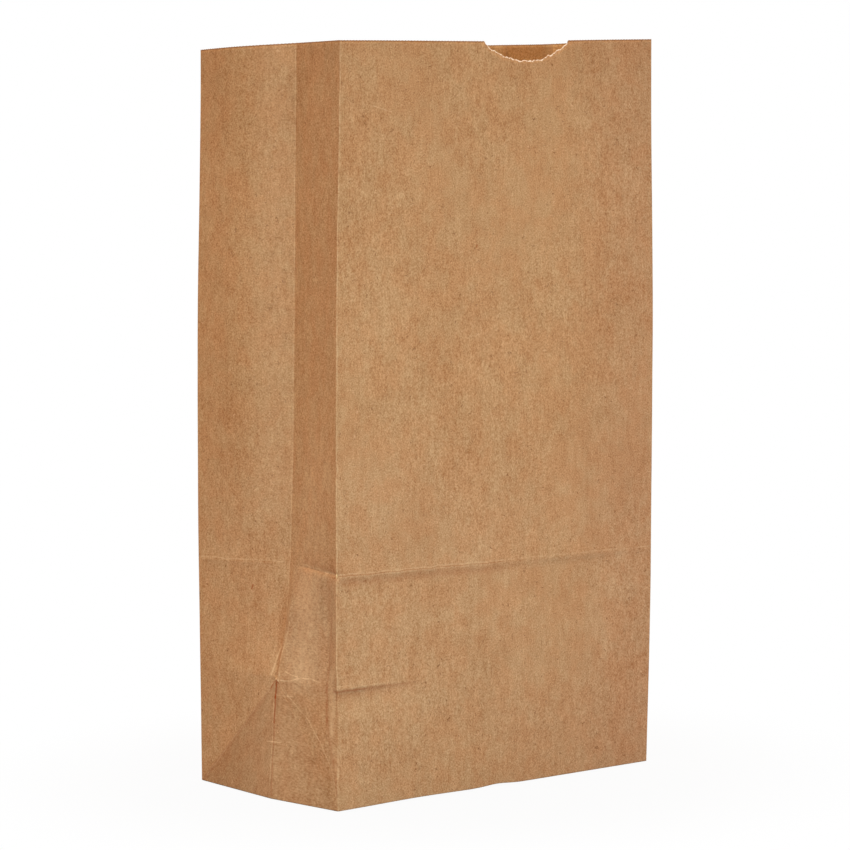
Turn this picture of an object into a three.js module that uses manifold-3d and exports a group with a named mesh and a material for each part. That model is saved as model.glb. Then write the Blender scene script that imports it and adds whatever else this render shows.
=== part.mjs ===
// Brown paper lunch bag standing open: one sheet of kraft paper folded and glued into a tube
// with a gusset at each side, closed by a folded flat base, with a thumb notch in its front.
// Millimetres, +Z up. The notched front panel faces -Y and the base stands on Z = 0.
import * as THREE from "three";
import { mergeVertices } from "three/addons/utils/BufferGeometryUtils.js";
import loadManifold from "manifold-3d";

// The sheet
const PAPER = 0.12; // thickness of the kraft paper
const HEIGHT = 281; // ground to the cut top edge
const PANEL_WIDTH = 152.4; // front and back panels, fold to fold
const GUSSET_WIDTH = 92.1; // each side panel pressed flat, fold to fold
const SEAM_WIDTH = 16; // glued lap that closes the tube, inside the back panel
const SEAM_OFFSET = 34; // middle of that lap, from the middle of the back panel

// The folded base
const BASE_WIDTH_LOSS = 1; // how much narrower the base is than the panels
const BASE_DEPTH_LOSS = 3.3; // how much shallower the base is than a flat gusset
const BASE_BOW = 4.8; // how far the middle of each short base edge bulges out
const FLAP_LAP = 10; // how far each base flap reaches past the middle line

// The folds in the walls
const CREASE_DROP = 2.8; // how far the long crease lies below one base depth
const CREASE_BAND = 3; // height of the bent paper under the long crease
const CREASE_STEP = 0.6; // how far the walls step in across that band
const APEX_INSET = 4.6; // depth of the gusset's middle fold at its lower end
const SHOULDER_INSET = 9.8; // depth of that fold halfway from there to the long crease
const CREASE_INSET = 12; // depth of that fold at the long crease
const WAIST_INSET = 13.4; // depth of that fold halfway up to the mouth
const MOUTH_INSET = 14.3; // depth of that fold at the mouth

// The mouth
const MOUTH_SHIFT_X = 3.3; // how far the standing bag's mouth leans to the right
const MOUTH_SHIFT_Y = -2.3; // how far it leans, towards the front
const NOTCH_WIDTH = 41; // thumb notch, along the front edge
const NOTCH_DEPTH = 7.3; // thumb notch, below the front edge
const NOTCH_OFFSET = 12.3; // middle of the notch, from the middle of the front panel

// What follows from those sizes
const BASE_WIDTH = PANEL_WIDTH - BASE_WIDTH_LOSS;
const BASE_DEPTH = GUSSET_WIDTH - BASE_DEPTH_LOSS;
const BASE_LEVEL = 2 * PAPER; // the two flaps lie one over the other below the walls
const BOND = PAPER / 4; // how deep glued layers run into each other
const APEX_HEIGHT = BASE_DEPTH / 2;
const CREASE_HEIGHT = BASE_DEPTH - CREASE_DROP;
const BAND_HEIGHT = CREASE_HEIGHT - CREASE_BAND;
const SHOULDER_HEIGHT = (APEX_HEIGHT + BAND_HEIGHT) / 2;
const WAIST_HEIGHT = (CREASE_HEIGHT + HEIGHT) / 2;

// The folds around a section, counter-clockwise from above.
const FOLDS = ["frontLeft", "frontRight", "rightGusset", "backRight", "backLeft", "leftGusset"];
const ARC_STEPS = 24; // straight steps along the notch's arc
const JOIN_DISTANCE = 0.001; // corners closer than this are one corner

const kraft = new THREE.MeshStandardMaterial({ color: 0xbd9164, roughness: 0.88, metalness: 0 });

// Half the depth of the open tube where its gusset fold lies this far in.
function halfDepthAt(inset) {
  return Math.sqrt((GUSSET_WIDTH / 2) ** 2 - inset ** 2);
}

// One level section through the walls: four corner folds and the two gusset folds.
function section(height, halfWidth, halfDepth, inset) {
  const x = (MOUTH_SHIFT_X * height) / HEIGHT;
  const y = (MOUTH_SHIFT_Y * height) / HEIGHT;
  const fold = halfWidth - inset;
  return [
    new THREE.Vector3(x - halfWidth, y - halfDepth, height),
    new THREE.Vector3(x + halfWidth, y - halfDepth, height),
    new THREE.Vector3(x + fold, y, height),
    new THREE.Vector3(x + halfWidth, y + halfDepth, height),
    new THREE.Vector3(x - halfWidth, y + halfDepth, height),
    new THREE.Vector3(x - fold, y, height),
  ];
}

// The sections from the base to the mouth.
function wallSections() {
  const baseHalf = BASE_WIDTH / 2;
  const panelHalf = PANEL_WIDTH / 2;
  const creaseDepth = halfDepthAt(CREASE_INSET);
  const bandHalf = panelHalf - CREASE_STEP;
  const bandDepth = creaseDepth - CREASE_STEP;
  const shoulderHalf = (baseHalf + bandHalf) / 2;
  const shoulderDepth = (APEX_HEIGHT + bandDepth) / 2;
  return [
    section(BASE_LEVEL, baseHalf, BASE_DEPTH / 2, -BASE_BOW),
    section(APEX_HEIGHT, baseHalf, BASE_DEPTH / 2, APEX_INSET),
    section(SHOULDER_HEIGHT, shoulderHalf, shoulderDepth, SHOULDER_INSET),
    section(BAND_HEIGHT, bandHalf, bandDepth, CREASE_INSET),
    section(CREASE_HEIGHT, panelHalf, creaseDepth, CREASE_INSET),
    section(WAIST_HEIGHT, panelHalf, halfDepthAt(WAIST_INSET), WAIST_INSET),
    section(HEIGHT, panelHalf, halfDepthAt(MOUTH_INSET), MOUTH_INSET),
  ];
}

// Two triangles for each wall between two sections. In a gusset they part along the line
// from the corner below to the middle fold above, where the paper is folded at the base.
function wallFaces(rows) {
  const faces = [];
  for (let row = 0; row + 1 < rows; row += 1) {
    for (let side = 0; side < FOLDS.length; side += 1) {
      const next = (side + 1) % FOLDS.length;
      const a = row * FOLDS.length + side;
      const b = row * FOLDS.length + next;
      const c = b + FOLDS.length;
      const d = a + FOLDS.length;
      if (FOLDS[side].endsWith("Gusset")) {
        faces.push([a, b, d], [b, c, d]);
      } else {
        faces.push([a, b, c], [a, c, d]);
      }
    }
  }
  return faces;
}

// The move that carries every face with one of these normals outward by one unit.
function cornerStep(normals) {
  const softness = 0.001;
  const squares = new THREE.Matrix3().identity().multiplyScalar(softness);
  const sum = new THREE.Vector3();
  for (const normal of normals) {
    const parts = normal.toArray();
    parts.forEach((across, row) => {
      parts.forEach((down, column) => {
        squares.elements[3 * column + row] += across * down;
      });
    });
    sum.add(normal);
  }
  return sum.applyMatrix3(squares.invert());
}

// That move for every point of a sheet. Each point stays at its own height.
function outwardSteps(points, faces) {
  const around = points.map(() => []);
  for (const face of faces) {
    const corners = face.map((index) => points[index]);
    const normal = new THREE.Triangle(...corners).getNormal(new THREE.Vector3());
    face.forEach((index) => around[index].push(normal));
  }
  return around.map((normals) => cornerStep(normals).setZ(0));
}

// Edges that only one face of the sheet uses, in the order that face runs along them.
function openEdges(faces) {
  const edges = new Map();
  for (const [a, b, c] of faces) {
    for (const [from, to] of [[a, b], [b, c], [c, a]]) {
      const back = `${to} ${from}`;
      if (edges.has(back)) {
        edges.delete(back);
      } else {
        edges.set(`${from} ${to}`, [from, to]);
      }
    }
  }
  return [...edges.values()];
}

// A closed solid between two copies of a sheet, one moved out and one moved in.
function thickSheet(points, faces, steps, outward, inward) {
  const moved = (distance) => points.map((p, i) => p.clone().addScaledVector(steps[i], distance));
  const count = points.length;
  const triangles = faces.flatMap(([a, b, c]) => [a, b, c, c + count, b + count, a + count]);
  for (const [from, to] of openEdges(faces)) {
    triangles.push(to, from, from + count, to, from + count, to + count);
  }
  const corners = [...moved(outward), ...moved(-inward)];
  return { positions: corners.flatMap((p) => p.toArray()), triangles };
}

// A level plate with this outline, between two heights.
function plate(outline, bottom, top) {
  const shape = new THREE.Shape(outline.map((p) => new THREE.Vector2(p.x, p.y)));
  const solid = new THREE.ExtrudeGeometry(shape, { depth: top - bottom, bevelEnabled: false });
  return plainSolid(solid.translate(0, 0, bottom));
}

// Corner positions and triangles of a geometry, with shared corners joined.
function plainSolid(geometry) {
  geometry.deleteAttribute("normal");
  geometry.deleteAttribute("uv");
  const joined = mergeVertices(geometry, JOIN_DISTANCE);
  return { positions: [...joined.attributes.position.array], triangles: [...joined.index.array] };
}

// A base flap, folded in from its long edge and narrowing at 45 degrees along the end folds.
function flapOutline(side) {
  const halfWidth = BASE_WIDTH / 2 - PAPER;
  const halfDepth = BASE_DEPTH / 2 - PAPER / 2;
  const tip = halfWidth - BASE_DEPTH / 2 - FLAP_LAP;
  const outline = [
    new THREE.Vector2(-halfWidth, side * halfDepth),
    new THREE.Vector2(halfWidth, side * halfDepth),
    new THREE.Vector2(tip, -side * FLAP_LAP),
    new THREE.Vector2(-tip, -side * FLAP_LAP),
  ];
  return side < 0 ? outline : outline.reverse();
}

// The lap of the tube's seam, on the inside of the back panel from the base to the mouth.
function seamLap(sections) {
  const points = sections.flatMap((corners) => {
    const right = corners[FOLDS.indexOf("backRight")];
    const left = corners[FOLDS.indexOf("backLeft")];
    const middle = (right.x + left.x) / 2 + SEAM_OFFSET;
    return [
      new THREE.Vector3(middle + SEAM_WIDTH / 2, right.y, right.z),
      new THREE.Vector3(middle - SEAM_WIDTH / 2, right.y, right.z),
    ];
  });
  const faces = [];
  for (let row = 0; row + 1 < sections.length; row += 1) {
    const a = 2 * row;
    faces.push([a, a + 1, a + 3], [a, a + 3, a + 2]);
  }
  return thickSheet(points, faces, outwardSteps(points, faces), -PAPER / 2, 2 * PAPER);
}

// The piece that the thumb notch takes out of the front panel.
function notchCutter() {
  const half = NOTCH_WIDTH / 2;
  const radius = (half ** 2 + NOTCH_DEPTH ** 2) / (2 * NOTCH_DEPTH);
  const spread = Math.asin(half / radius);
  const shape = new THREE.Shape();
  shape.moveTo(half, NOTCH_DEPTH);
  shape.lineTo(-half, NOTCH_DEPTH);
  shape.lineTo(-half, 0);
  const down = -Math.PI / 2;
  shape.absarc(0, radius - NOTCH_DEPTH, radius, down - spread, down + spread, false);
  shape.closePath();
  const solid = new THREE.ExtrudeGeometry(shape, {
    depth: GUSSET_WIDTH,
    bevelEnabled: false,
    curveSegments: ARC_STEPS,
  });
  solid.rotateX(Math.PI / 2);
  solid.translate(MOUTH_SHIFT_X + NOTCH_OFFSET, MOUTH_SHIFT_Y, HEIGHT);
  return plainSolid(solid);
}

// The walls, flaps and seam joined into one body, with the notch taken out.
function bagGeometry({ Manifold, Mesh }) {
  const solidOf = ({ positions, triangles }) =>
    new Manifold(
      new Mesh({
        numProp: 3,
        vertProperties: new Float32Array(positions),
        triVerts: new Uint32Array(triangles),
      }),
    );
  const sections = wallSections();
  const points = sections.flat();
  const faces = wallFaces(sections.length);
  const steps = outwardSteps(points, faces);
  const floor = sections[0].map((p, i) => p.clone().addScaledVector(steps[i], -PAPER / 2));
  const joined = [
    plate(floor, BASE_LEVEL, BASE_LEVEL + PAPER),
    plate(flapOutline(-1), 0, BASE_LEVEL + BOND),
    plate(flapOutline(1), PAPER, BASE_LEVEL + BOND),
    seamLap(sections),
  ];
  let bag = solidOf(thickSheet(points, faces, steps, 0, PAPER));
  joined.forEach((solid) => {
    bag = bag.add(solidOf(solid));
  });
  const mesh = bag.subtract(solidOf(notchCutter())).getMesh();
  const geometry = new THREE.BufferGeometry();
  geometry.setAttribute("position", new THREE.BufferAttribute(mesh.vertProperties, 3));
  geometry.setIndex(new THREE.BufferAttribute(mesh.triVerts, 1));
  geometry.computeVertexNormals();
  return geometry;
}

const manifold = await loadManifold();
manifold.setup();

const bag = new THREE.Mesh(bagGeometry(manifold), kraft);
bag.name = "paper_bag";
bag.geometry.computeBoundingBox();
const middle = bag.geometry.boundingBox.getCenter(new THREE.Vector3());
bag.position.set(-middle.x, -middle.y, 0);

const group = new THREE.Group();
group.name = "paper_lunch_bag";
group.add(bag);

export default group;
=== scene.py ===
"""Brown paper lunch bag: the looks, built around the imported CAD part.

The bag is one folded sheet. Its skin is worked out in the flat sheet's own terms, in millimetres:
s runs round the tube from the front left fold, and t runs up from the base folds.
"""

import math
from types import SimpleNamespace

import bpy
import numpy as np
from mathutils import Matrix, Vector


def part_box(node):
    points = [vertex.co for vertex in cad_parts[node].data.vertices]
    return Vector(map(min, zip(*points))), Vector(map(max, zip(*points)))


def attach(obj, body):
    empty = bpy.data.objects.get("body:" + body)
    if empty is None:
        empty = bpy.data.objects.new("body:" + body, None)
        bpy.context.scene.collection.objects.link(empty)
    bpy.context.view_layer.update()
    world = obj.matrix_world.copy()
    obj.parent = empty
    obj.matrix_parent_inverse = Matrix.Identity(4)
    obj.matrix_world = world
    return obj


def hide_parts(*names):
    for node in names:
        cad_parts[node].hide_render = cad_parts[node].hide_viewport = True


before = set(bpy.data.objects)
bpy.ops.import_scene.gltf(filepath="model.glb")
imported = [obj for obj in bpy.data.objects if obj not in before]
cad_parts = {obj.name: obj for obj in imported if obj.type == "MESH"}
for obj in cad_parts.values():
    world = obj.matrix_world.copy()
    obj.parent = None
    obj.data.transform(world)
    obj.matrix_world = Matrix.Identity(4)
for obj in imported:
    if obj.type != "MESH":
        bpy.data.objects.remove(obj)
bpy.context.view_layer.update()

MM = 0.001
NODE = "paper_bag"
LOW, HIGH = (np.array(corner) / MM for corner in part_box(NODE))

# The sheet
PAPER = 0.12
HEIGHT = HIGH[2] - LOW[2]
PANEL = 152.4
HALF_GUSSET = 92.1 / 2

# Where the bag stands: its box's front is at the mouth's front edge
FRONT_TO_MIDDLE = 46.07
BASE_Y = LOW[1] + FRONT_TO_MIDDLE

# The folded base
BASE_HALF_WIDTH = 75.65
HALF_DEPTH = 43.5
RIGHT_SET = 0.5
FLAP_LAP = 10.0
END_LAP = 5.0
LAYER = 0.2

# Heights of the folds across the walls
APEX = 44.4
CREASE = 86.0

# The mouth
MOUTH_HALF_WIDTH = 75.5
MOUTH_SHIFT = np.array([4.24, -2.49])
NOTCH_MIDDLE = 88.2
NOTCH_HALF = 20.9
NOTCH_DEPTH = 7.4
NOTCH_LIP = 1.1
RIM = 1.3

# Round the tube: the folds in order, and where the sheet's own length has each of them
FRONT_LEFT, FRONT_RIGHT, RIGHT_FOLD, BACK_RIGHT, BACK_LEFT, LEFT_FOLD = range(6)
FOLD_S = np.cumsum([0, PANEL, HALF_GUSSET, HALF_GUSSET, PANEL, HALF_GUSSET, HALF_GUSSET])
AROUND = FOLD_S[-1]
FOLD_X = np.array([-1, 1, 1, 1, -1, -1])
FOLD_Y = np.array([-1, -1, 0, 1, 1, 0])
IN_GUSSET = FOLD_Y == 0
FOLD_COUNT = len(FOLD_X)

# How far the middle folds stand in from the corners, by height, and where they end at the base
GUSSET_INSET = [(APEX, 4.0), (58, 7.1), (CREASE, 10.0), (110, 10.9), (183, 12.0), (HEIGHT, 12.9)]
BASE_BOW = 3.45
BASE_SKEW = {LEFT_FOLD: -6.1, RIGHT_FOLD: -3.0}

# How far the creases and the mouth's edge rise or fall, at each fold in turn
CREASE_RISE = [1.1, -1.2, -0.6, 0, 0, 0.6]
LOW_CREASE_RISE = [0.4, 0.2, 0, 0, 0, 0]
MOUTH_RISE = [0.5, 0.7, -0.2, 0.3, -1.3, 0.4]
MOUTH_SAG = 0.6

# How far each corner bows sideways between base and mouth, and the heights where the bow is full
BOWS = {
    FRONT_LEFT: (-1.35, 45, 180),
    FRONT_RIGHT: (1.8, 75, 165),
    BACK_RIGHT: (1.8, 75, 165),
    BACK_LEFT: (-1.7, 115, 165),
}

# How far the panels belly out, the back half of each gusset included, and how slack they are
GUSSET_BELLY = 5.8
PANEL_BELLY = 0.9
SLACK = 0.4
RIPPLE = 0.12

# How far the front base fold lifts off the table
BASE_WAVE = 0.45
BASE_KINK = 0.65

# The near corner's facet by the lower crease: its reach to either side, and where it grows and ends
BLUNT_ON_GUSSET = 9.5
BLUNT_ON_FRONT = 0.9
BLUNT_RISE = (8, 32)
BLUNT_FALL = (APEX - 3, APEX + 9)

# The long crease: how far each of its parts stands out or lies in
LIP = 0.25
HOLLOW = 0.65
VALLEY = 0.95
PINCH = 0.6
RIDGE = 0.25

# The lower crease, and the crumpled paper at the apex
LOW_LIP = 0.12
LEDGE = 0.7
CRUMPLE = 0.6

# The gusset's front half under the long crease: a strip at the fold, a flat facet, a groove by the corner
FACET_HEIGHT = 2.6
FACET_TOP = CREASE + 0.5
FACET_FOOT = 57
STRIP_WIDTHS = (3, 12)
FULL_STRIP = 8
GROOVE_DEPTH = 1.7
GROOVE_PLACE = HALF_GUSSET - 9.5

# The cut edge's saw teeth, and the tear: height and pitch
SAW = (0.14, 1.4)
TEARS = [(0.28, 2.3), (0.36, 0.9)]

# How far a fold's bend spreads in the sheet
FOLD_SOFTNESS = 0.36
BASE_SOFTNESS = 0.1
SAMPLES, WEIGHTS = np.polynomial.hermite_e.hermegauss(5)
WEIGHTS = WEIGHTS / WEIGHTS.sum()

# How far apart the mesh's points are: between the folds, and close beside them
GUSSET_STEPS = (1.05, 0.35)
FRONT_STEPS = (1.9, 0.4)
BACK_STEPS = (4.2, 0.5)
BAND_STEPS = (0.95, 0.35)
TOOTH_STEP = 0.42
HIGH_ROWS = 52

# Rows of the base flaps: in from their folds, and as shares of the way to a gusset end's tip
FLAP_ROWS = [0.6, 1.5, 4, 10, 20, 30, 42, HALF_DEPTH + FLAP_LAP]
END_ROWS = [0.012, 0.03, 0.08, 0.2, 0.4, 0.6, 0.8, 0.97]

# What the flaps have in place of a place in the sheet, clear of every line that is drawn on it
FLAP_DISTANCE = 80.0
FLAP_DROP = 60
FAR_FROM_EDGE = 20.0


# Curves and small tools


def smooth(value, start, end):
    """0 before start, 1 after end, and a soft rise between them."""
    share = np.clip((value - start) / (end - start), 0, 1)
    return share * share * (3 - 2 * share)


def hump(value, middle, reach):
    """1 at the middle, falling softly to nothing about two reaches away."""
    return np.exp(-(((value - middle) / reach) ** 2))


def curve(knots, at):
    """A smooth curve through the knots, level past both ends."""
    xs, ys = np.array(knots, float).T
    slopes = np.gradient(ys, xs)
    at = np.clip(at, xs[0], xs[-1])
    i = np.clip(np.searchsorted(xs, at, side="right") - 1, 0, len(xs) - 2)
    span = xs[i + 1] - xs[i]
    f = (at - xs[i]) / span
    rise = f * f * (3 - 2 * f)
    bend = f * (1 - f) * ((1 - f) * slopes[i] - f * slopes[i + 1]) * span
    return ys[i] * (1 - rise) + ys[i + 1] * rise + bend


def ragged(at, pitch):
    """Smooth noise from -1 to 1 along a line, the same each run."""
    place = np.asarray(at, float) / pitch
    first = np.floor(place)
    values = [np.mod(np.sin(i * 12.9898 + pitch) * 43758.5453, 1) for i in (first, first + 1)]
    mix = smooth(place - first, 0, 1)
    return 2 * (values[0] * (1 - mix) + values[1] * mix) - 1


def graded(length, step, fine):
    """Distances from 0 to length: close together near both ends, about one step apart between."""
    end = fine * np.array([0, 1, 2.2, 3.8, 6])
    count = int(np.ceil((length - 2 * end[-1]) / step)) + 1
    middle = np.linspace(end[-1], length - end[-1], count)
    return np.concatenate([end[:-1], middle, length - end[-2::-1]])


# The folded sheet


def round_tube(s, values):
    """A value that runs straight from fold to fold round the tube, given at each fold in turn."""
    return np.interp(np.mod(s, AROUND), FOLD_S, [*values, values[0]])


def gusset_distance(s):
    """Distance in the sheet from the nearer middle fold, positive towards the front."""
    corner, middle = HALF_GUSSET, HALF_GUSSET + PANEL / 2
    front, back = PANEL / 2, FOLD_S[BACK_RIGHT] + PANEL / 2
    marks = np.sort([*FOLD_S, front, back])
    values = [corner, middle, corner, 0, -corner, -middle, -corner, 0, corner]
    return np.interp(np.mod(s, AROUND), marks, values)


def from_near_corner(s):
    """Distance round the tube from the near corner: negative on the seen gusset."""
    gusset = 2 * HALF_GUSSET
    return np.mod(s + gusset, AROUND) - gusset


def on_left(s):
    """1 on the sheet's left half, round the seen gusset, and 0 on its right half."""
    s = np.mod(s, AROUND)
    return ((s < PANEL / 2) | (s > FOLD_S[BACK_RIGHT] + PANEL / 2)).astype(float)


def crease_height(s):
    """Height of the long crease, which runs a little downhill to the right."""
    return CREASE + round_tube(s, CREASE_RISE)


def low_crease_height(s):
    """Height of the lower crease, level with the ends of the middle folds."""
    return APEX + round_tube(s, LOW_CREASE_RISE)


def fold_point(fold, t):
    """Where a fold is at this height."""
    lean = t / HEIGHT
    widening = (MOUTH_HALF_WIDTH - BASE_HALF_WIDTH) * lean
    half_width = BASE_HALF_WIDTH + widening + RIGHT_SET * (FOLD_X[fold] > 0)
    low_inset = -BASE_BOW + (GUSSET_INSET[0][1] + BASE_BOW) * t / APEX
    inset = np.where(t < APEX, low_inset, curve(GUSSET_INSET, t)) * IN_GUSSET[fold]
    x = FOLD_X[fold] * (half_width - inset) + MOUTH_SHIFT[0] * lean
    y = FOLD_Y[fold] * HALF_DEPTH + MOUTH_SHIFT[1] * lean + BASE_Y
    for corner, (bow, first, last) in BOWS.items():
        x = x + (fold == corner) * bow * smooth(t, -20, first) * (1 - smooth(t, last, HEIGHT))
    for middle, skew in BASE_SKEW.items():
        y = y + (fold == middle) * skew * np.clip(1 - t / APEX, 0, 1)
    return np.stack([x, y, t], -1)


def base_level(fold):
    """The front flap lies lowest, then the back flap, then the two gusset ends."""
    return LAYER * np.where(IN_GUSSET[fold], 2, np.where(FOLD_Y[fold] > 0, 1, 0))


def base_lift(s):
    """How far the front base fold stands off the table: a long low wave that ends in a small kink."""
    wave = BASE_WAVE * hump(s, 38, 24)
    kink = BASE_KINK * hump(s, 76, 7)
    return (wave + kink) * (s < PANEL)


def flat_wall(s, t):
    """A point of the sharply folded sheet, and the way its panel faces."""
    s = np.mod(s, AROUND)
    side = np.clip(np.searchsorted(FOLD_S, s, side="right") - 1, 0, FOLD_COUNT - 1)
    after = (side + 1) % FOLD_COUNT
    share = ((s - FOLD_S[side]) / (FOLD_S[side + 1] - FOLD_S[side]))[:, None]
    up = np.maximum(t, 0)
    first, last = fold_point(side, up), fold_point(after, up)
    point = first * (1 - share) + last * share
    along = last - first
    facing = np.stack([along[:, 1], -along[:, 0], 0 * t], -1)
    facing /= np.linalg.norm(facing, axis=1, keepdims=True)

    # Under its apex a gusset is two triangles, parted by the fold from apex to base corner.
    gusset = IN_GUSSET[side] | IN_GUSSET[after]
    corner, middle = np.where(IN_GUSSET[side], after, side), np.where(IN_GUSSET[side], side, after)
    c = np.where(IN_GUSSET[side][:, None], 1 - share, share)
    b = (up / APEX)[:, None]
    ground, apex = 0 * t, 0 * t + APEX
    corner_low, corner_high = fold_point(corner, ground), fold_point(corner, apex)
    middle_low, middle_high = fold_point(middle, ground), fold_point(middle, apex)
    outer = corner_low + b * (corner_high - corner_low) + c * (middle_high - corner_high)
    inner = corner_low + c * (middle_low - corner_low) + b * (middle_high - middle_low)
    ended = np.where(c < b, outer, inner)
    point = np.where((gusset & (t < APEX))[:, None], ended, point)

    # Past the base fold the sheet turns under the bag, and the front edge lifts off the table here and there.
    under = np.minimum(t, 0)[:, None]
    lift = base_lift(s) * (1 - smooth(t, 0, 30))
    point = point + facing * under + np.stack([0 * t, 0 * t, lift], -1)
    return point, facing


def wall_point(s, t):
    """The folded sheet with the near corner blunted: by the lower crease a facet cuts it off."""
    point, facing = flat_wall(s, t)
    start, end = BLUNT_RISE
    full = np.clip((t - start) / (end - start), 0, 1) * (1 - smooth(t, *BLUNT_FALL))
    on_gusset, on_front = BLUNT_ON_GUSSET * full, BLUNT_ON_FRONT * full
    place = from_near_corner(s)
    cut = (place > -on_gusset) & (place < on_front) & (full > 0.01)
    if cut.any():
        first, _ = flat_wall(-on_gusset[cut], t[cut])
        last, _ = flat_wall(on_front[cut], t[cut])
        share = (place[cut] + on_gusset[cut]) / (on_gusset[cut] + on_front[cut])
        point[cut] = first + (last - first) * share[:, None]
    return point, facing


def long_crease_relief(s, t):
    """The long crease: a lip over a hollow band on the front panel, and a valley in the gusset."""
    above = t - crease_height(s)
    below = -above
    up, down = np.maximum(above, 0), np.maximum(below, 0)
    u = gusset_distance(s)
    across = np.mod(s, AROUND)

    # On the front panel it is uneven, and fainter at the right.
    strength = (1 - 0.65 * smooth(across, 112, 140)) * (0.8 + 0.3 * ragged(across, 17))
    fade = 1 - smooth(below, 4, 26)
    lip = LIP * np.exp(-up / 5) * fade
    hollow = HOLLOW * smooth(below, 0.5, 3.2) * fade
    on_front = smooth(u, HALF_GUSSET, HALF_GUSSET + 3) * strength * (lip - hollow)

    # It is a valley in a gusset's front half, pinched at the near corner, and a low ridge in the back half.
    valley = VALLEY * np.where(above > 0, np.exp(-up / 2.6), np.exp(-down / 0.8))
    reach = smooth(u, 5, 17) * (1 - smooth(u, HALF_GUSSET - 3.5, HALF_GUSSET))
    pinch = PINCH * hump(u, HALF_GUSSET, 1.8) * hump(above, -0.3, 1.3) * on_left(s)
    ridge = RIDGE * np.exp(-np.abs(above) / 1.5) * smooth(-u, 4, 12) * (1 - smooth(-u, 40, HALF_GUSSET))
    return on_front - valley * reach - pinch + ridge


def low_crease_relief(s, t):
    """The lower crease: the upper paper overhangs at the near corner, less and less along the front."""
    above = t - low_crease_height(s)
    below = -above
    across = from_near_corner(s)
    run = smooth(across, -4, 1) * (1 - smooth(across, 12, 42)) * on_left(s)
    ledge = LEDGE * smooth(below, -0.2, 1.8) * (1 - smooth(below, 2.2, 13))
    lip = LOW_LIP * np.exp(-np.maximum(above, 0) / 1.2) * (above > 0)
    return run * (lip - ledge)


def facet_relief(u, t):
    """The gusset's front half under the long crease: a strip at the fold, a facet, a groove by the corner."""
    below = FACET_TOP - t
    size = smooth(below, -1, 19) * (1 - smooth(below, 36, 66))
    narrow, wide = STRIP_WIDTHS
    strip = narrow + (wide - narrow) * np.clip((t - FACET_FOOT) / (CREASE - FACET_FOOT), 0, 1)
    high = FACET_HEIGHT * (0.5 + 0.5 * np.minimum(1, strip / FULL_STRIP))
    low = -GROOVE_DEPTH
    in_strip = high * u / strip
    in_facet = high + (low - high) * (u - strip) / (GROOVE_PLACE - strip)
    in_groove = low * (HALF_GUSSET - u) / (HALF_GUSSET - GROOVE_PLACE)
    shape = np.where(u < strip, in_strip, np.where(u < GROOVE_PLACE, in_facet, in_groove))
    return shape * size * ((u > 0) & (u < HALF_GUSSET))


def relief(s, t):
    """How far the paper stands out of its flat panels: slack, bellies, creases and crumples."""
    u = gusset_distance(s)
    panel = smooth(np.abs(u), HALF_GUSSET, HALF_GUSSET + 30)
    broad = SLACK * np.sin(s / 19 + t / 70 + 1) * np.sin(t / 37 + 0.5)
    small = RIPPLE * np.sin(s / 7.3 - t / 23) * np.sin(t / 11 + s / 40)
    slack = (broad + small) * (0.3 + 0.7 * panel) * smooth(t, 2, 25)

    # The panels belly out in the middle, and the gussets' back halves between their folds.
    across = np.clip((np.abs(u) - HALF_GUSSET) / (PANEL / 2), 0, 1)
    belly = PANEL_BELLY * np.sin(across * np.pi / 2) ** 2 * smooth(t, 0, 60)
    back_half = np.clip(-u / HALF_GUSSET, 0, 1)
    roof = (1 - np.abs(2 * back_half - 1) ** 1.5) * (back_half > 0) * (back_half < 1)
    belly = belly + GUSSET_BELLY * roof * smooth(t, APEX, 180)

    # The paper puckers where the seen gusset's folds meet at the apex.
    pucker = on_left(s) * hump(u, 1.5, 4.2) * hump(t, APEX, 3)
    crumple = CRUMPLE * pucker * np.sin(u * 1.9 + t * 0.7) * np.sin(t * 1.7 - u * 0.5)
    creases = long_crease_relief(s, t) + low_crease_relief(s, t)
    return slack + belly + facet_relief(u, t) + crumple + creases


def sheet_point(s, t):
    """A point of the bag's outer skin: the folded sheet with its bends rounded and its relief."""
    point, facing = 0, 0
    spread = BASE_SOFTNESS + (FOLD_SOFTNESS - BASE_SOFTNESS) * smooth(t, 0.5, 6)
    for step_s, weight_s in zip(SAMPLES, WEIGHTS):
        for step_t, weight_t in zip(SAMPLES[1:-1], WEIGHTS[1:-1]):
            p, f = wall_point(s + FOLD_SOFTNESS * step_s, t + spread * step_t)
            point = point + weight_s * weight_t * p
            facing = facing + weight_s * weight_t * f
    point = point / WEIGHTS[1:-1].sum()
    facing /= np.linalg.norm(facing, axis=1, keepdims=True)
    return point + facing * relief(s, t)[:, None]


# The edge of the mouth


def notch(s):
    """Depth of the thumb notch under the cut edge, with its two short steep ends."""
    off = np.abs(np.mod(s, AROUND) - NOTCH_MIDDLE) / NOTCH_HALF
    arc = NOTCH_LIP + (NOTCH_DEPTH - NOTCH_LIP) * (1 - np.minimum(off, 1) ** 2)
    return arc * (1 - smooth(off, 0.97, 1.015))


def torn(s):
    """1 along the notch, where the edge is torn and not cut."""
    off = np.abs(np.mod(s, AROUND) - NOTCH_MIDDLE)
    return 1 - smooth(off, NOTCH_HALF - 0.6, NOTCH_HALF + 0.2)


def cut_height(s):
    """Height of the mouth's cut edge, which is not quite level."""
    level = HEIGHT + round_tube(s, MOUTH_RISE)
    return level - MOUTH_SAG * hump(np.mod(s, AROUND), 75, 45)


def edge_height(s):
    """Height of the mouth's edge: finely saw-cut, and ragged where the notch is torn."""
    saw_height, saw_pitch = SAW
    saw = np.abs(np.mod(s / saw_pitch, 1) - 0.5) * 2 * saw_height
    tear = sum(height * ragged(s, pitch) for height, pitch in TEARS)
    return cut_height(s) - notch(s) - saw * (1 - torn(s)) + tear * torn(s)


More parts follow.
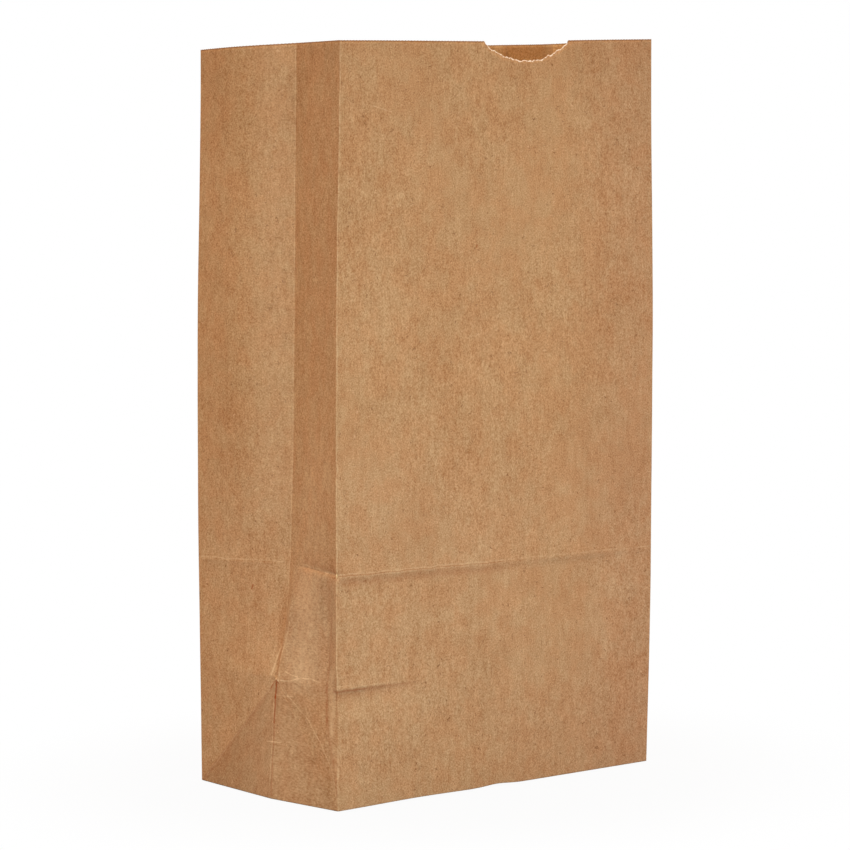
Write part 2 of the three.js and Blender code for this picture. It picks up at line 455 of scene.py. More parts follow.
def calm_edge(s):
    """A height that stays just under the mouth's edge."""
    near = [cut_height(s + step) - notch(s + step) for step in np.linspace(-2, 2, 9)]
    return np.min(near, axis=0) - RIM


# The mesh


def columns():
    """Places round the tube for the mesh's columns, close together at the folds."""
    half = graded(HALF_GUSSET, *GUSSET_STEPS)
    front, back = graded(PANEL, *FRONT_STEPS), graded(PANEL, *BACK_STEPS)
    runs = [front, half[::2], half[::2], back, half, half]
    return np.concatenate([FOLD_S[i] + run[:-1] for i, run in enumerate(runs)])


def rows():
    """Heights for the mesh's rows, close together at the creases."""
    low = graded(HALF_GUSSET, *GUSSET_STEPS) * APEX / HALF_GUSSET
    middle = APEX + graded(CREASE - APEX, *BAND_STEPS)
    over = CREASE + np.array([0, 0.35, 0.8, 1.4, 2.2, 3.2, 4.5, 6.2, 8.4])
    high = np.linspace(over[-1] + 3, HEIGHT - RIM, HIGH_ROWS)
    return np.concatenate([low[:-1], middle[:-1], over, high])


def wall_grid():
    """s and t of every mesh point of the walls, as rows by columns."""
    s, t = np.meshgrid(columns(), rows())
    t = t + (crease_height(s) - CREASE) * np.clip(1 - np.abs(t - CREASE) / 24, 0, 1)
    t = t + (low_crease_height(s) - APEX) * np.clip(1 - np.abs(t - APEX) / 14, 0, 1)
    start = HEIGHT - 22
    squeeze = (calm_edge(s) - start) / (HEIGHT - RIM - start)
    return s, np.where(t > start, start + (t - start) * squeeze, t)


class Skin:
    """Points and faces of the outer skin as they are gathered."""

    def __init__(self):
        self.points, self.flat, self.faces = [], [], []
        self.count = 0

    def add(self, point, flat):
        """Adds points and returns the number of the first."""
        first = self.count
        self.points.append(point)
        self.flat.append(flat)
        self.count += len(point)
        return first

    def add_sheet(self, s, t, gap):
        """Adds points of the folded sheet by their places in it."""
        flat = np.stack([gusset_distance(s), t, gap], -1)
        return self.add(sheet_point(s, t), flat)

    def place(self, number):
        """Places of points by their numbers."""
        return np.concatenate(self.points)[number]


def add_walls(skin):
    """The four panels from the base folds to just under the mouth's edge."""
    s, t = wall_grid()
    high, wide = s.shape
    gap = np.minimum(edge_height(s) - t, FAR_FROM_EDGE)
    first = skin.add_sheet(s.ravel(), t.ravel(), gap.ravel())
    number = first + np.arange(high * wide).reshape(high, wide)
    right = np.roll(number, -1, axis=1)
    a, b, c, d = number[:-1], right[:-1], right[1:], number[1:]
    u = gusset_distance(s)
    toward_front = np.where(on_left(s) > 0, 1, -1) * u
    front_half = (toward_front >= -1e-6) & (np.abs(u) < HALF_GUSSET)
    turn = (front_half[:-1] & (t[:-1] < APEX - 0.2))[..., None]
    one = np.where(turn, np.stack([a, b, d], -1), np.stack([a, b, c], -1))
    two = np.where(turn, np.stack([b, c, d], -1), np.stack([a, c, d], -1))
    skin.faces += one.reshape(-1, 3).tolist() + two.reshape(-1, 3).tolist()
    return number


def add_rim(skin, top):
    """The strip along the mouth's edge, fine enough for its saw teeth and its tear."""
    starts = columns()
    widths = np.diff(np.append(starts, AROUND))
    counts = np.maximum(2, np.ceil(widths / TOOTH_STEP)).astype(int)
    runs = zip(starts, widths, counts)
    s = np.concatenate([start + width * np.arange(n) / n for start, width, n in runs])
    first = skin.add_sheet(s, edge_height(s), 0 * s)
    edge = first + np.arange(len(s))
    begin = np.concatenate([[0], np.cumsum(counts)])
    for i, n in enumerate(counts):
        a, b = int(top[i]), int(top[(i + 1) % len(top)])
        run = [int(edge[(begin[i] + j) % len(edge)]) for j in range(n + 1)]
        middle = n // 2
        skin.faces += [(a, run[j + 1], run[j]) for j in range(middle)]
        skin.faces.append((a, b, run[middle]))
        skin.faces += [(b, run[j + 1], run[j]) for j in range(middle, n)]


def add_flap(skin, edge, lines):
    """A base flap from its fold edge inward, given as rows of points."""
    before = [int(i) for i in edge]
    for line in lines:
        level = np.ones(len(line))
        flat = np.column_stack([FLAP_DISTANCE * level, line[:, 1] - FLAP_DROP, FAR_FROM_EDGE * level])
        first = skin.add(line, flat)
        number = [first + i for i in range(len(line))]
        for a, b, c, d in zip(before, before[1:], number[1:], number):
            skin.faces += [(b, a, d), (b, d, c)]
        before = number


def fold_run(start, end):
    """Numbers of the columns from one fold to another."""
    places = columns()
    chosen = np.flatnonzero((places >= FOLD_S[start] - 1e-6) & (places <= FOLD_S[end] + 1e-6))
    return np.append(chosen, 0) if end == FOLD_COUNT else chosen


def add_base(skin, bottom):
    """The four flaps under the bag: gusset ends folded in first, then the back and front flaps lapped."""
    for fold, inward in ((FRONT_LEFT, 1), (BACK_RIGHT, -1)):
        run = fold_run(fold, fold + 1)
        x, y, _ = skin.place(bottom[run]).T
        lift = base_lift(columns()[run])
        lines = []
        for d in FLAP_ROWS:
            z = base_level(fold) + lift * (1 - smooth(d, 0, 20))
            lines.append(np.column_stack([x * (1 - d / BASE_HALF_WIDTH), y + inward * d, z]))
        add_flap(skin, bottom[run], lines)
    for fold, out in ((FRONT_RIGHT, 1), (BACK_LEFT, -1)):
        edge = bottom[fold_run(fold, fold + 2)]
        rim = skin.place(edge)
        rim[:, 2] = base_level(RIGHT_FOLD)
        tip = np.array([out * (BASE_HALF_WIDTH - HALF_DEPTH - END_LAP), BASE_Y, base_level(RIGHT_FOLD)])
        add_flap(skin, edge, [rim + (tip - rim) * share for share in END_ROWS])


def point_normals(points, faces):
    """The way the skin faces at each of its points."""
    a, b, c = (points[faces[:, i]] for i in range(3))
    face = np.cross(b - a, c - a)
    normal = np.zeros_like(points)
    for i in range(3):
        np.add.at(normal, faces[:, i], face)
    return normal / np.linalg.norm(normal, axis=1, keepdims=True)


def open_edges(faces, count):
    """Starts and ends of the edges that only one triangle uses."""
    start = faces.ravel()
    end = faces[:, [1, 2, 0]].ravel()
    alone = ~np.isin(end * count + start, start * count + end)
    return start[alone], end[alone]


def bag_mesh():
    """The closed mesh of the paper: outer skin, inner skin and the cut edges between them."""
    skin = Skin()
    number = add_walls(skin)
    add_rim(skin, number[-1])
    add_base(skin, number[0])
    points, flat = np.concatenate(skin.points), np.concatenate(skin.flat)
    outer = np.array(skin.faces)
    count = skin.count
    start, end = open_edges(outer, count)
    one = np.stack([end, start, start + count], -1)
    two = np.stack([end, start + count, end + count], -1)
    faces = np.concatenate([outer, outer[:, ::-1] + count, one, two])
    places = np.concatenate([points, points - PAPER * point_normals(points, outer)]) * MM
    mesh = bpy.data.meshes.new("paper_bag_sheet")
    mesh.from_pydata(places.tolist(), [], faces.tolist())
    places_in_sheet = np.concatenate([flat, flat]).astype(np.float32).ravel()
    mesh.attributes.new("flat", "FLOAT_VECTOR", "POINT").data.foreach_set("vector", places_in_sheet)
    on_inner_skin = np.repeat([0.0, 1.0], count).astype(np.float32)
    mesh.attributes.new("inside", "FLOAT", "POINT").data.foreach_set("value", on_inner_skin)
    mesh.shade_smooth()
    mesh.validate()
    return mesh


# Materials


class Graph:
    """A short way to write a node tree."""

    def __init__(self, tree):
        self.tree = tree
        tree.nodes.clear()

    def put(self, socket, value):
        """Sets an input, or links another node's output to it."""
        if isinstance(value, bpy.types.NodeSocket):
            self.tree.links.new(value, socket)
        else:
            socket.default_value = value

    def add(self, kind, inputs=None, **settings):
        """A new node with these settings and inputs."""
        node = self.tree.nodes.new(kind)
        for name, value in settings.items():
            setattr(node, name, value)
        for key, value in (inputs or {}).items():
            self.put(node.inputs[key], value)
        return node

    def math(self, operation, *values, clamp=False):
        """One sum on numbers or sockets."""
        node = self.add("ShaderNodeMath", dict(enumerate(values)), operation=operation, use_clamp=clamp)
        return node.outputs[0]

    def vector(self, operation, *values):
        """One sum on vectors."""
        node = self.add("ShaderNodeVectorMath", dict(enumerate(values)), operation=operation)
        return node.outputs["Value" if operation in ("DOT_PRODUCT", "LENGTH") else "Vector"]

    def noise(self, place, stretch, scale, detail, twist=0.0):
        """Noise from 0 to 1 with features 1/scale metres wide, drawn out along the axes by stretch."""
        drawn = self.vector("MULTIPLY", place, stretch)
        inputs = {"Vector": drawn, "Scale": scale, "Detail": detail, "Roughness": 0.6, "Distortion": twist}
        return self.add("ShaderNodeTexNoise", inputs).outputs["Fac"]

    def ramp(self, value, start, end, low=0.0, high=1.0):
        """A soft step of value from start to end."""
        inputs = {"Value": value, "From Min": start, "From Max": end, "To Min": low, "To Max": high}
        return self.add("ShaderNodeMapRange", inputs, interpolation_type="SMOOTHSTEP").outputs[0]

    def mix(self, share, first, second, blend="MIX"):
        """Two colours mixed by share."""
        node = self.add("ShaderNodeMix", data_type="RGBA", blend_type=blend)
        for number, value in ((0, share), (6, first), (7, second)):
            self.put(node.inputs[number], value)
        return node.outputs[2]

    def product(self, first, *others):
        """Numbers or sockets multiplied with each other."""
        for value in others:
            first = self.math("MULTIPLY", first, value)
        return first

    def tint(self, share, base, shares):
        """A colour with its red, green and blue multiplied by these shares."""
        return self.mix(share, base, (*shares, 1.0), "MULTIPLY")

    def paint(self, share, base, colour):
        """A colour covered by another, which is given as seen on screen."""
        return self.mix(share, base, srgb(*colour))


def line_group():
    """A node group that marks a straight line in the sheet: its way, middle, half length and width."""
    tree = bpy.data.node_groups.new("paper_line", "ShaderNodeTree")
    for name in ("Place", "Way", "Side"):
        tree.interface.new_socket(name, in_out="INPUT", socket_type="NodeSocketVector")
    for name in ("Middle", "Off", "Reach", "Width", "Strength"):
        tree.interface.new_socket(name, in_out="INPUT", socket_type="NodeSocketFloat")
    tree.interface.new_socket("Mark", in_out="OUTPUT", socket_type="NodeSocketFloat")
    graph = Graph(tree)
    given = graph.add("NodeGroupInput").outputs
    along = graph.math("SUBTRACT", graph.vector("DOT_PRODUCT", given["Place"], given["Way"]), given["Middle"])
    past = graph.math("SUBTRACT", graph.math("ABSOLUTE", along), given["Reach"])
    inside = graph.ramp(past, 0.0, given["Width"], 1.0, 0.0)
    across = graph.math("SUBTRACT", graph.vector("DOT_PRODUCT", given["Place"], given["Side"]), given["Off"])
    near = graph.ramp(graph.math("ABSOLUTE", across), 0.0, given["Width"], given["Strength"], 0.0)
    graph.add("NodeGroupOutput", {"Mark": graph.math("MULTIPLY", near, inside)})
    return tree


def srgb(red, green, blue):
    """A colour as seen on screen, as the linear colour that shaders take."""
    values = [c / 12.92 if c <= 0.04045 else ((c + 0.055) / 1.055) ** 2.4 for c in (red, green, blue)]
    return (*values, 1.0)


# Colours as seen on screen
PAPER_DARK = (0.622, 0.438, 0.262)
PAPER_PALE = (0.815, 0.668, 0.49)
HAIR_DARK = (0.47, 0.29, 0.15)
HAIR_PALE = (0.86, 0.7, 0.53)
# Worn folds, and also painted highlight on the creases and broad painted light
PALE_WEAR_AND_LIGHT = (0.9, 0.77, 0.6)
# Cracks, and also painted shade beside the creases
CRACK_AND_SHADE_BROWN = (0.59, 0.28, 0.1)
# Painted shade along the cut mouth edge
CUT_EDGE_SHADE = (0.42, 0.26, 0.12)
TORN_EDGE = (0.93, 0.86, 0.76)

# How parts of the paper differ from the rest, as shares of its red, green and blue: its own ruddy clouds,
# then painted light and shade: bounce light low down, shade at the right, the foot, the far corner, the base
# triangles and the rim, light on the gusset's facet, and light on the inner skin, more on its front half
RUDDY_CLOUDS = (1.0, 0.91, 0.86)
BOUNCE_LIGHT_LOW_DOWN = (1.0, 1.015, 1.06)
SHADE_AT_RIGHT = (0.955, 0.93, 0.97)
SHADE_AT_FOOT = (0.95, 0.91, 0.9)
SHADE_AT_FAR_CORNER = (0.965, 0.935, 0.9)
LIGHT_ON_FACET = (0.985, 1.035, 1.11)
SHADE_IN_TRIANGLES = (0.8, 0.795, 0.8)
SHADE_AT_RIM = (0.93, 0.91, 0.89)
LIGHT_ON_INNER_SKIN = (1.32, 1.5, 1.4)
LIGHT_ON_INNER_FRONT = (1.2, 1.25, 1.3)

# The paper's noises: how they are drawn out along the axes, features to the metre, and detail
GRAIN = ((1, 1, 0.8), 2000, 2)
STREAK = ((1, 1, 0.16), 800, 2)
CLOUD = ((1, 1, 0.7), 210, 3)
BROAD = ((1, 1, 0.7), 30, 1)
HUE = ((1, 1, 0.8), 120, 4)
# Breaks up the pale lines: the worn folds and the painted light alike
PALE_LINE_BREAKS = ((1, 1, 1), 420, 2)
TEAR = ((1, 1, 1), 1100, 2)

# How far from straight the drawn lines run, and features of that to the metre
LINE_WANDER = 1.6
WANDER_SCALE = 130.0

# Hairs: features to the metre, twist and strength
DARK_HAIRS = (330, 2.0, 0.75)
PALE_HAIRS = (280, 2.5, 0.5)

# Worn lines in the sheet: start, end, width and strength, as distance from the middle fold and height.
FRONT = HALF_GUSSET
WORN_LINES = [
    ((FRONT, 45), (FRONT, 300), 0.65, 0.4),
    ((FRONT, 0), (FRONT, 24), 0.7, 0.3),
    ((-FRONT, 0), (-FRONT, 300), 0.6, 0.35),
    ((0, 62), (0, 300), 0.5, 0.3),
    ((-1.5, 42.5), (-44, 1), 0.55, 0.22),
]

# The same on the bag's left half only: pale lines along the creases and the wrinkles at the gusset's apex,
# partly fold wear and partly painted highlight, a pale hair, and broad painted light on the gusset's facet,
# below its apex, above the long crease, by its middle fold and by the near corner.
LEFT_LINES = [
    # Pale lines along the creases and wrinkles: partly fold wear, partly painted highlight.
    ((FRONT, 87.4), (FRONT + 76, 86.1), 0.5, 0.3),
    ((FRONT, 86.4), (FRONT + 76, 85.1), 0.4, 0.2),
    ((FRONT - 1, 87.0), (33, 87.2), 0.55, 0.5),
    ((33, 87.2), (12, 87.9), 0.5, 0.38),
    ((-2, 87.3), (-44, 87.0), 0.45, 0.3),
    ((FRONT + 6, 45.4), (FRONT + 26, 45.4), 0.6, 0.2),
    ((FRONT, 46.3), (FRONT + 11, 46.0), 0.4, 0.2),
    ((-3.6, 45), (-2, 52), 0.8, 0.6),
    ((-2, 52), (0.6, 59.2), 0.75, 0.6),
    ((4.5, 45.7), (2.5, 49.2), 0.7, 0.6),
    ((2.5, 49.2), (4, 54.2), 0.7, 0.55),
    ((4, 54.2), (7.5, 66), 0.8, 0.35),
    ((-0.5, 43.8), (0.8, 44.4), 0.7, 1.0),
    ((0.8, 44.4), (4, 43.5), 0.6, 1.0),
    ((5.2, 43.8), (13.2, 44.8), 0.4, 0.83),
    ((13.2, 44.8), (20.5, 46.5), 0.4, 0.83),
    ((20.5, 46.5), (31.5, 46.5), 0.4, 0.68),
    ((8, 47.8), (16.8, 46.2), 0.4, 0.75),
    ((0.5, 38), (13.5, 38.7), 0.4, 0.52),
    ((6.7, 42), (10, 38.7), 0.4, 0.68),
    ((5, 41), (23.7, 31), 0.45, 0.52),
    ((23.7, 31), (33, 24), 0.5, 0.7),
    ((33, 24), (41.3, 15.7), 0.5, 0.55),
    ((41.3, 15.7), (45.2, 4), 0.5, 0.3),
    ((-1.3, 36), (-1.1, 4), 0.5, 0.3),
    ((-4.5, 20.3), (5.5, 21), 0.4, 0.55),
    # A pale hair.
    ((62, 257.6), (67.5, 255.9), 0.3, 0.5),
    ((67.5, 255.9), (70, 255.5), 0.3, 0.4),
    # Broad painted light: on the facet, below the apex, above the long crease, by the middle fold, and by the
    # near corner.
    ((20, 78), (20, 50), 14, 0.27),
    ((3, 36), (3, 8), 30, 0.13),
    ((23, 92), (23, 125), 22, 0.1),
    ((-7, 110), (-7, 300), 14, 0.12),
    ((41.5, 50), (42, 30), 4.2, 0.36),
    ((42, 30), (44.6, 14), 2.8, 0.2),
]

# Dark lines on the left half: cracks round the gusset's apex and two specks, and painted shade: under the
# tucked lower crease, under and beside the long crease, where it meets the near corner, beside the middle
# fold over the apex, under the left diagonal fold, and in the groove by the near corner.
DARK_LINES = [
    ((0, 43.2), (-0.4, 37), 0.9, 0.85),
    ((-0.4, 37), (-0.4, 28), 0.8, 0.65),
    ((-0.4, 28), (0.2, 1), 0.7, 0.25),
    ((-1.5, 42.6), (-4, 39.8), 0.45, 0.6),
    ((-2.5, 40.9), (-45, -0.2), 1.5, 0.14),
    ((1.4, 43.3), (3.6, 42.5), 0.6, 0.75),
    ((0.5, 46), (0.8, 56), 1.8, 0.22),
    # Painted shade under the lower crease, and under and beside the long crease.
    ((FRONT - 3, 44.3), (FRONT + 13, 44.2), 0.7, 0.42),
    ((FRONT + 13, 44.2), (FRONT + 34, 44.2), 0.8, 0.2),
    ((FRONT + 1, 42.9), (FRONT + 10, 42.9), 2.4, 0.15),
    ((FRONT + 10, 42.9), (FRONT + 34, 43.0), 2.2, 0.1),
    ((FRONT, 86.9), (FRONT + 76, 85.6), 0.25, 0.25),
    ((FRONT + 2, 84.4), (FRONT + 76, 83.2), 2.4, 0.17),
    ((14, 89.4), (44, 88.6), 1.9, 0.1),
    ((45.2, 86.6), (45.8, 85.6), 0.8, 0.5),
    ((-17.9, 76.3), (-17.3, 77.9), 0.5, 0.8),
    ((110, 204.6), (110.3, 205.4), 0.4, 0.8),
    # Painted shade in the groove by the near corner.
    ((40, 74), (36.3, 44), 1.8, 0.16),
    ((36.3, 44), (37.5, 33), 1.8, 0.26),
    ((37.5, 33), (42.8, 18.5), 1.5, 0.24),
    ((42.8, 18.5), (45.5, 6), 1.0, 0.2),
]

# The long crease on the front panel's right half, where it is fainter: a pale line, partly fold wear and
# partly painted highlight.
RIGHT_LINES = [((FRONT + 76, 86.1), (FRONT, 84.8), 0.45, 0.2)]


def marks(graph, place, lines, group):
    """All the lines' marks added up."""
    total = 0.0
    for start, end, width, strength in lines:
        start, end = np.array(start, float), np.array(end, float)
        length = np.linalg.norm(end - start)
        way = (end - start) / length
        side = np.array([-way[1], way[0]])
        mark = graph.tree.nodes.new("ShaderNodeGroup")
        mark.node_tree = group
        inputs = {
            "Place": place, "Way": (*way, 0), "Side": (*side, 0),
            "Middle": way @ (start + end) / 2, "Off": side @ start,
            "Reach": length / 2, "Width": width, "Strength": strength,
        }
        for key, value in inputs.items():
            graph.put(mark.inputs[key], value)
        total = graph.math("ADD", total, mark.outputs[0])
    return total


def fibres(graph, place, scale, twist, strength):
    """Short curled hairs: thin level lines of a noise, broken up by another."""
    field = graph.noise(place, (1, 1, 1), scale, 0, twist)
    line = graph.ramp(graph.math("ABSOLUTE", graph.math("SUBTRACT", field, 0.5)), 0.0, 0.03, 1.0, 0.0)
    broken = graph.ramp(graph.noise(place, (1.1, 0.9, 1.3), scale * 1.3, 1), 0.55, 0.65)
    return graph.product(line, broken, strength)


def paper_place(graph):
    """Where a point of the paper is: in space, in the flat sheet, and on which half and skin."""
    place = graph.add("ShaderNodeTexCoord").outputs["Object"]
    axes = graph.add("ShaderNodeSeparateXYZ", {0: place}).outputs
    flat = graph.add("ShaderNodeAttribute", attribute_name="flat").outputs["Vector"]
    parts = graph.add("ShaderNodeSeparateXYZ", {0: flat}).outputs
    inside = graph.add("ShaderNodeAttribute", attribute_name="inside").outputs["Fac"]
    left = graph.ramp(axes["X"], 0.0, 0.01, 1.0, 0.0)
    return SimpleNamespace(
        space=place, x=axes["X"], y=axes["Y"], left=left, inside=inside,
        across=parts["X"], height=parts["Y"], edge_gap=parts["Z"],
    )


def plain_paper(graph, at):
    """The paper's colour from its grain, streaks and clouds, with its bumps and its roughness."""
    drawn = graph.ramp(at.across, -0.5, 0.5, 0.75, 0.33)
    stretch = graph.add("ShaderNodeCombineXYZ", {0: 1.0, 1: drawn, 2: 1.0}).outputs[0]
    run = graph.vector("MULTIPLY", at.space, stretch)
    grain, streak = graph.noise(run, *GRAIN), graph.noise(run, *STREAK)
    cloud, broad = graph.noise(at.space, *CLOUD), graph.noise(at.space, *BROAD)
    weights = ((grain, 1.85), (streak, 0.5), (cloud, 0.5), (broad, 0.3))
    tone = 0.5 - 0.5 * sum(weight for _, weight in weights)
    for value, weight in weights:
        tone = graph.math("MULTIPLY_ADD", value, weight, tone)
    tone = graph.math("MINIMUM", graph.math("MAXIMUM", tone, 0.0), 1.0)
    base = graph.mix(tone, srgb(*PAPER_DARK), srgb(*PAPER_PALE))
    ruddy = graph.ramp(graph.noise(at.space, *HUE), 0.35, 0.65)
    base = graph.tint(ruddy, base, RUDDY_CLOUDS)

    height = graph.math("MULTIPLY", grain, 0.6)
    for value, weight in ((streak, 0.2), (cloud, 0.4)):
        height = graph.math("MULTIPLY_ADD", value, weight, height)
    bump = graph.add("ShaderNodeBump", {"Strength": 0.35, "Distance": 0.00012, "Height": height}).outputs[0]
    roughness = graph.ramp(cloud, 0.3, 0.7, 0.82, 0.94)
    return base, bump, roughness


def painted_shading(graph, at, base):
    """Painted light and shade: bounce light low down, shade at the right side, on the foot and at the far
    corner, light on the gusset's facet, shade in the base triangles and at the rim, and light on the inner
    skin.
    """
    # Painted bounce light: bluer low down.
    base = graph.tint(graph.ramp(at.height, 90, 160, 1.0, 0.0), base, BOUNCE_LIGHT_LOW_DOWN)
    # Painted shade: darker towards the bag's right side, on its foot towards the right, and in each gusset's
    # back half by its back corner.
    base = graph.tint(graph.ramp(at.x, 0.025, 0.075), base, SHADE_AT_RIGHT)
    foot_shade = graph.product(graph.ramp(at.height, 15, 60, 1.0, 0.0), graph.ramp(at.x, -0.03, 0.03))
    base = graph.tint(foot_shade, base, SHADE_AT_FOOT)
    far_corner_shade = graph.product(graph.ramp(at.across, -26, -8, 1.0, 0.0), graph.ramp(at.across, -47, -45.5))
    base = graph.tint(far_corner_shade, base, SHADE_AT_FAR_CORNER)
    # Painted light: the seen gusset's facet paler and bluer.
    facet_light = graph.product(
        graph.ramp(at.height, 36, 48), graph.ramp(at.height, 84, 89, 1.0, 0.0),
        graph.ramp(at.across, 2, 8), graph.ramp(at.across, 44, 46.5, 1.0, 0.0), at.left,
    )
    base = graph.tint(facet_light, base, LIGHT_ON_FACET)

    # The gusset's base triangles lie under the folds from its apex to the base corners; they are painted in
    # shade, the back half's more than the front half's.
    fold = graph.math("MULTIPLY_ADD", graph.math("ABSOLUTE", at.across), -APEX / HALF_GUSSET, APEX)
    triangle_shade = graph.ramp(graph.math("SUBTRACT", fold, at.height), -0.4, 0.6)
    triangle_shade = graph.product(triangle_shade, graph.ramp(at.across, -1.0, 0.5, 1.0, 0.8))
    base = graph.tint(triangle_shade, base, SHADE_IN_TRIANGLES)
    # Painted shade at the top, and painted light on the inner skin, more on its front half.
    base = graph.tint(graph.ramp(at.height, 225, HEIGHT), base, SHADE_AT_RIM)
    base = graph.tint(at.inside, base, LIGHT_ON_INNER_SKIN)
    return graph.tint(graph.product(at.inside, graph.ramp(at.across, -0.3, 0.3)), base, LIGHT_ON_INNER_FRONT)


def wear_and_painted_light(graph, at, base):
    """Hairs, worn folds and wrinkles, cracks, and painted light and shade: pale highlight along the creases,
    broad pale patches, and shade beside the creases.
    """
    base = graph.paint(fibres(graph, at.space, *DARK_HAIRS), base, HAIR_DARK)
    base = graph.paint(fibres(graph, at.space, *PALE_HAIRS), base, HAIR_PALE)
    level = graph.add("ShaderNodeCombineXYZ", {0: at.across, 1: at.height, 2: 0.0}).outputs[0]
    wander = graph.add("ShaderNodeTexNoise", {"Vector": at.space, "Scale": WANDER_SCALE, "Detail": 2.0})
    wander = graph.vector("SUBTRACT", wander.outputs["Color"], (0.5, 0.5, 0.5))
    level = graph.vector("ADD", level, graph.vector("MULTIPLY", wander, (LINE_WANDER, LINE_WANDER, 0.0)))
    group = line_group()
    # Pale lines: worn folds, painted highlight on the creases and broad painted light.
    broken = graph.ramp(graph.noise(at.space, *PALE_LINE_BREAKS), 0.3, 0.62, 0.3, 1.0)
    wear_and_light = graph.product(marks(graph, level, RIGHT_LINES, group), graph.math("SUBTRACT", 1.0, at.left))
    wear_and_light = graph.math("MULTIPLY_ADD", marks(graph, level, LEFT_LINES, group), at.left, wear_and_light)
    wear_and_light = graph.math("ADD", marks(graph, level, WORN_LINES, group), wear_and_light)
    wear_and_light = graph.math("MULTIPLY", wear_and_light, broken, clamp=True)
    base = graph.paint(wear_and_light, base, PALE_WEAR_AND_LIGHT)
    # Dark lines: cracks and specks, and painted shade beside the creases.
    cracks_and_shade = graph.math("MULTIPLY", marks(graph, level, DARK_LINES, group), at.left, clamp=True)
    return graph.paint(cracks_and_shade, base, CRACK_AND_SHADE_BROWN)


def edged_paper(graph, at, base):
    """The mouth's edge: painted shade along it where it is cut, and the paper's paler core where it is torn.
    """
    notch_x = (MOUTH_SHIFT[0] + NOTCH_MIDDLE * MOUTH_HALF_WIDTH * 2 / PANEL - MOUTH_HALF_WIDTH) * MM
    in_notch = graph.math("COMPARE", at.x, notch_x, NOTCH_HALF * MM)
    in_notch = graph.product(in_notch, graph.math("LESS_THAN", at.y, -0.03))
    # Painted shade along the cut edge, left out in the notch.
    cut = graph.product(graph.ramp(at.edge_gap, 0.2, 0.75, 0.6, 0.0), graph.math("SUBTRACT", 1.0, in_notch))
    base = graph.paint(cut, base, CUT_EDGE_SHADE)
    gap = graph.math("MULTIPLY_ADD", graph.noise(at.space, *TEAR), -1.5, at.edge_gap)
    tear = graph.product(graph.ramp(gap, -0.65, -0.25, 1.0, 0.0), in_notch)
    return graph.paint(tear, base, TORN_EDGE)


def kraft_material():
    """Brown kraft paper: fine grain, clouds of fibre, hairs, paler worn folds, and painted light and shade.
    """
    material = bpy.data.materials.new("kraft_paper")
    material.use_nodes = True
    graph = Graph(material.node_tree)
    at = paper_place(graph)
    base, bump, roughness = plain_paper(graph, at)
    for change in (painted_shading, wear_and_painted_light, edged_paper):
        base = change(graph, at, base)
    shader = graph.add(
        "ShaderNodeBsdfPrincipled",
        {"Base Color": base, "Roughness": roughness, "Normal": bump, "Specular IOR Level": 0.2},
    )
    graph.add("ShaderNodeOutputMaterial", {"Surface": shader.outputs[0]})
    return material


# The light: a warm sky that grows stronger from the side to the top, and one cool soft box
WHITE = (1.0, 1.0, 1.0, 1.0)
SKY = (1.0, 0.795, 0.645, 1.0)
SKY_AT_SIDE = 0.39
SKY_AT_TOP = 2.75
LAMP_COLOUR = (0.49, 0.785, 1.0)
LAMP_WATTS = 7.3
LAMP_SIZE = 0.3
LAMP_PLACE = (-0.56, -1.18, 0.16)
LAMP_AIM = (-0.02, -0.03, 0.15)

# The floor: its colour in the light it gives, how white it looks by the bag, and where its shadow ends
FLOOR = (0.38, 0.4, 0.44, 1.0)
FLOOR_WHITE = 0.95
SHADOW_REACH = (0.09, 0.2)
FLOOR_HALF = 6.0
FLOOR_DROP = 0.0003


def plain_rays(graph):
    """1 for rays that see the background itself, and 0 for the light it gives."""
    rays = graph.add("ShaderNodeLightPath").outputs
    seen = graph.math("MAXIMUM", rays["Is Camera Ray"], rays["Is Glossy Ray"])
    return graph.math("MAXIMUM", seen, rays["Is Transmission Ray"])


def floor_material():
    """A floor that is seen as white, with the bag's soft shadow close to it."""
    material = bpy.data.materials.new("studio_floor")
    material.use_nodes = True
    graph = Graph(material.node_tree)
    place = graph.add("ShaderNodeTexCoord").outputs["Object"]
    far = graph.ramp(graph.vector("LENGTH", place), *SHADOW_REACH, FLOOR_WHITE, 1.0)
    matt = graph.add("ShaderNodeBsdfDiffuse", {"Color": FLOOR}).outputs[0]
    white = graph.add("ShaderNodeEmission", {"Color": WHITE, "Strength": 1.0}).outputs[0]
    share = graph.math("MULTIPLY", plain_rays(graph), far)
    mixed = graph.add("ShaderNodeMixShader", {0: share, 1: matt, 2: white}).outputs[0]
    graph.add("ShaderNodeOutputMaterial", {"Surface": mixed})
    return material


# The stage


def add_object(name, data):
    """A new object in the scene."""
    made = bpy.data.objects.new(name, data)
    bpy.context.scene.collection.objects.link(made)
    return made


def add_floor():
    """A wide plane just under the bag."""
    corners = [(x * FLOOR_HALF, y * FLOOR_HALF, -FLOOR_DROP) for x, y in ((-1, -1), (1, -1), (1, 1), (-1, 1))]
    mesh = bpy.data.meshes.new("studio_floor")
    mesh.from_pydata(corners, [], [(0, 1, 2, 3)])
    mesh.materials.append(floor_material())
    add_object("studio_floor", mesh)


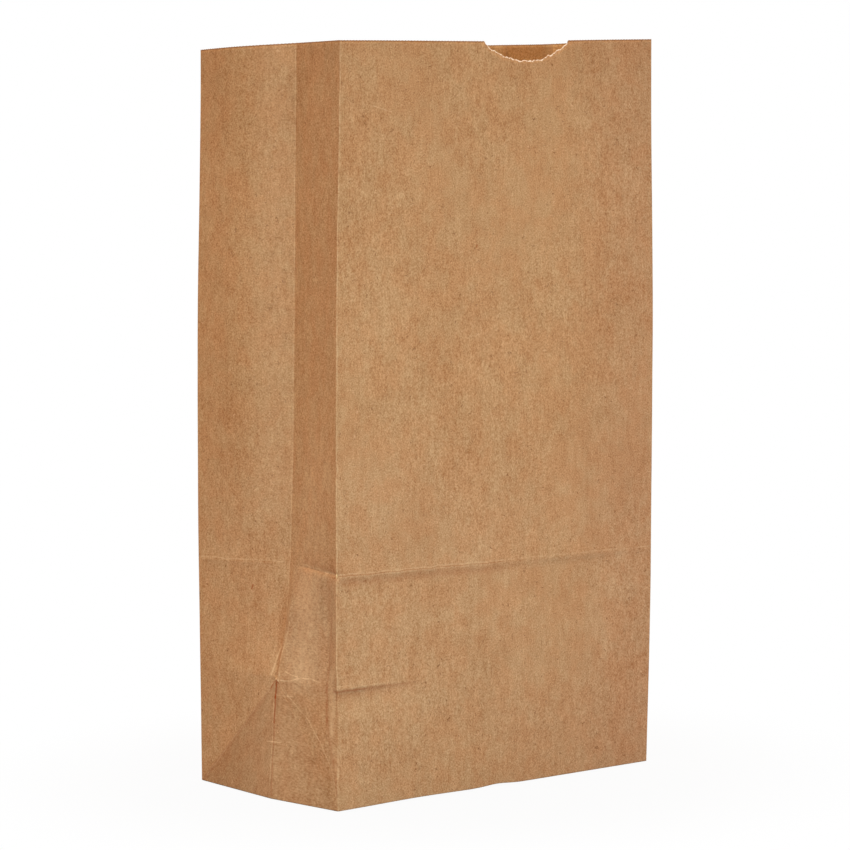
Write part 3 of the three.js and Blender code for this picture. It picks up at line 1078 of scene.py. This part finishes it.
def add_world():
    """Even warm light from all round, stronger from above, and a white background for the camera."""
    world = bpy.data.worlds.new("studio")
    bpy.context.scene.world = world
    world.use_nodes = True
    graph = Graph(world.node_tree)
    way = graph.add("ShaderNodeTexCoord").outputs["Generated"]
    upward = graph.add("ShaderNodeSeparateXYZ", {0: way}).outputs["Z"]
    strength = graph.ramp(upward, 0.3, 1.0, SKY_AT_SIDE, SKY_AT_TOP)
    soft = graph.add("ShaderNodeBackground", {"Color": SKY, "Strength": strength}).outputs[0]
    white = graph.add("ShaderNodeBackground", {"Color": WHITE, "Strength": 1.0}).outputs[0]
    mixed = graph.add("ShaderNodeMixShader", {0: plain_rays(graph), 1: soft, 2: white}).outputs[0]
    graph.add("ShaderNodeOutputWorld", {"Surface": mixed})


def facing_matrix(place, forward, up):
    """The matrix of a camera or lamp that looks forward, with up as near upright as it can be."""
    right = np.cross(forward, up)
    right /= np.linalg.norm(right)
    upright = np.cross(right, forward)
    matrix = Matrix.Identity(4)
    for column, axis in enumerate((right, upright, -np.array(forward), place)):
        for row in range(3):
            matrix[row][column] = float(axis[row])
    return matrix


def add_lamp():
    """A square soft box at its place, turned to its aim."""
    light = bpy.data.lights.new("key", "AREA")
    light.size = LAMP_SIZE
    light.energy = LAMP_WATTS
    light.color = LAMP_COLOUR
    lamp = add_object("key", light)
    lamp.visible_camera = False
    forward = np.array(LAMP_AIM) - np.array(LAMP_PLACE)
    upright = np.array([0.0, 0.0, 1.0])
    lamp.matrix_world = facing_matrix(LAMP_PLACE, forward / np.linalg.norm(forward), upright)


def add_camera():
    """The photograph's view: from the front left, a little above, with a long lens."""
    azimuth, pitch, roll = math.radians(38.652), math.radians(5.006), math.radians(-0.835)
    distance, sideways, height = 1418.6, 1.71, 259.0
    lens_pixels, image_pixels, sensor = 3694.4, 850, 36.0
    ahead = np.array([math.sin(azimuth), math.cos(azimuth), 0.0])
    right = np.array([math.cos(azimuth), -math.sin(azimuth), 0.0])
    up = np.array([0.0, 0.0, 1.0])
    forward = ahead * math.cos(pitch) - up * math.sin(pitch)
    upright = up * math.cos(pitch) + ahead * math.sin(pitch)
    rolled = upright * math.cos(roll) - right * math.sin(roll)
    place = np.array([0.0, BASE_Y, height]) - distance * ahead + sideways * right
    data = bpy.data.cameras.new("camera")
    data.sensor_width = sensor
    data.lens = lens_pixels / image_pixels * sensor
    data.clip_end = 50
    camera = add_object("camera", data)
    camera.matrix_world = facing_matrix(place * MM, forward, rolled)
    bpy.context.scene.camera = camera


bag = add_object("paper_bag_sheet", bag_mesh())
bag.data.materials.append(kraft_material())
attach(bag, "root")
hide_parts(NODE)

add_floor()
add_world()
add_lamp()
add_camera()
bpy.context.scene.view_settings.view_transform = "Standard"
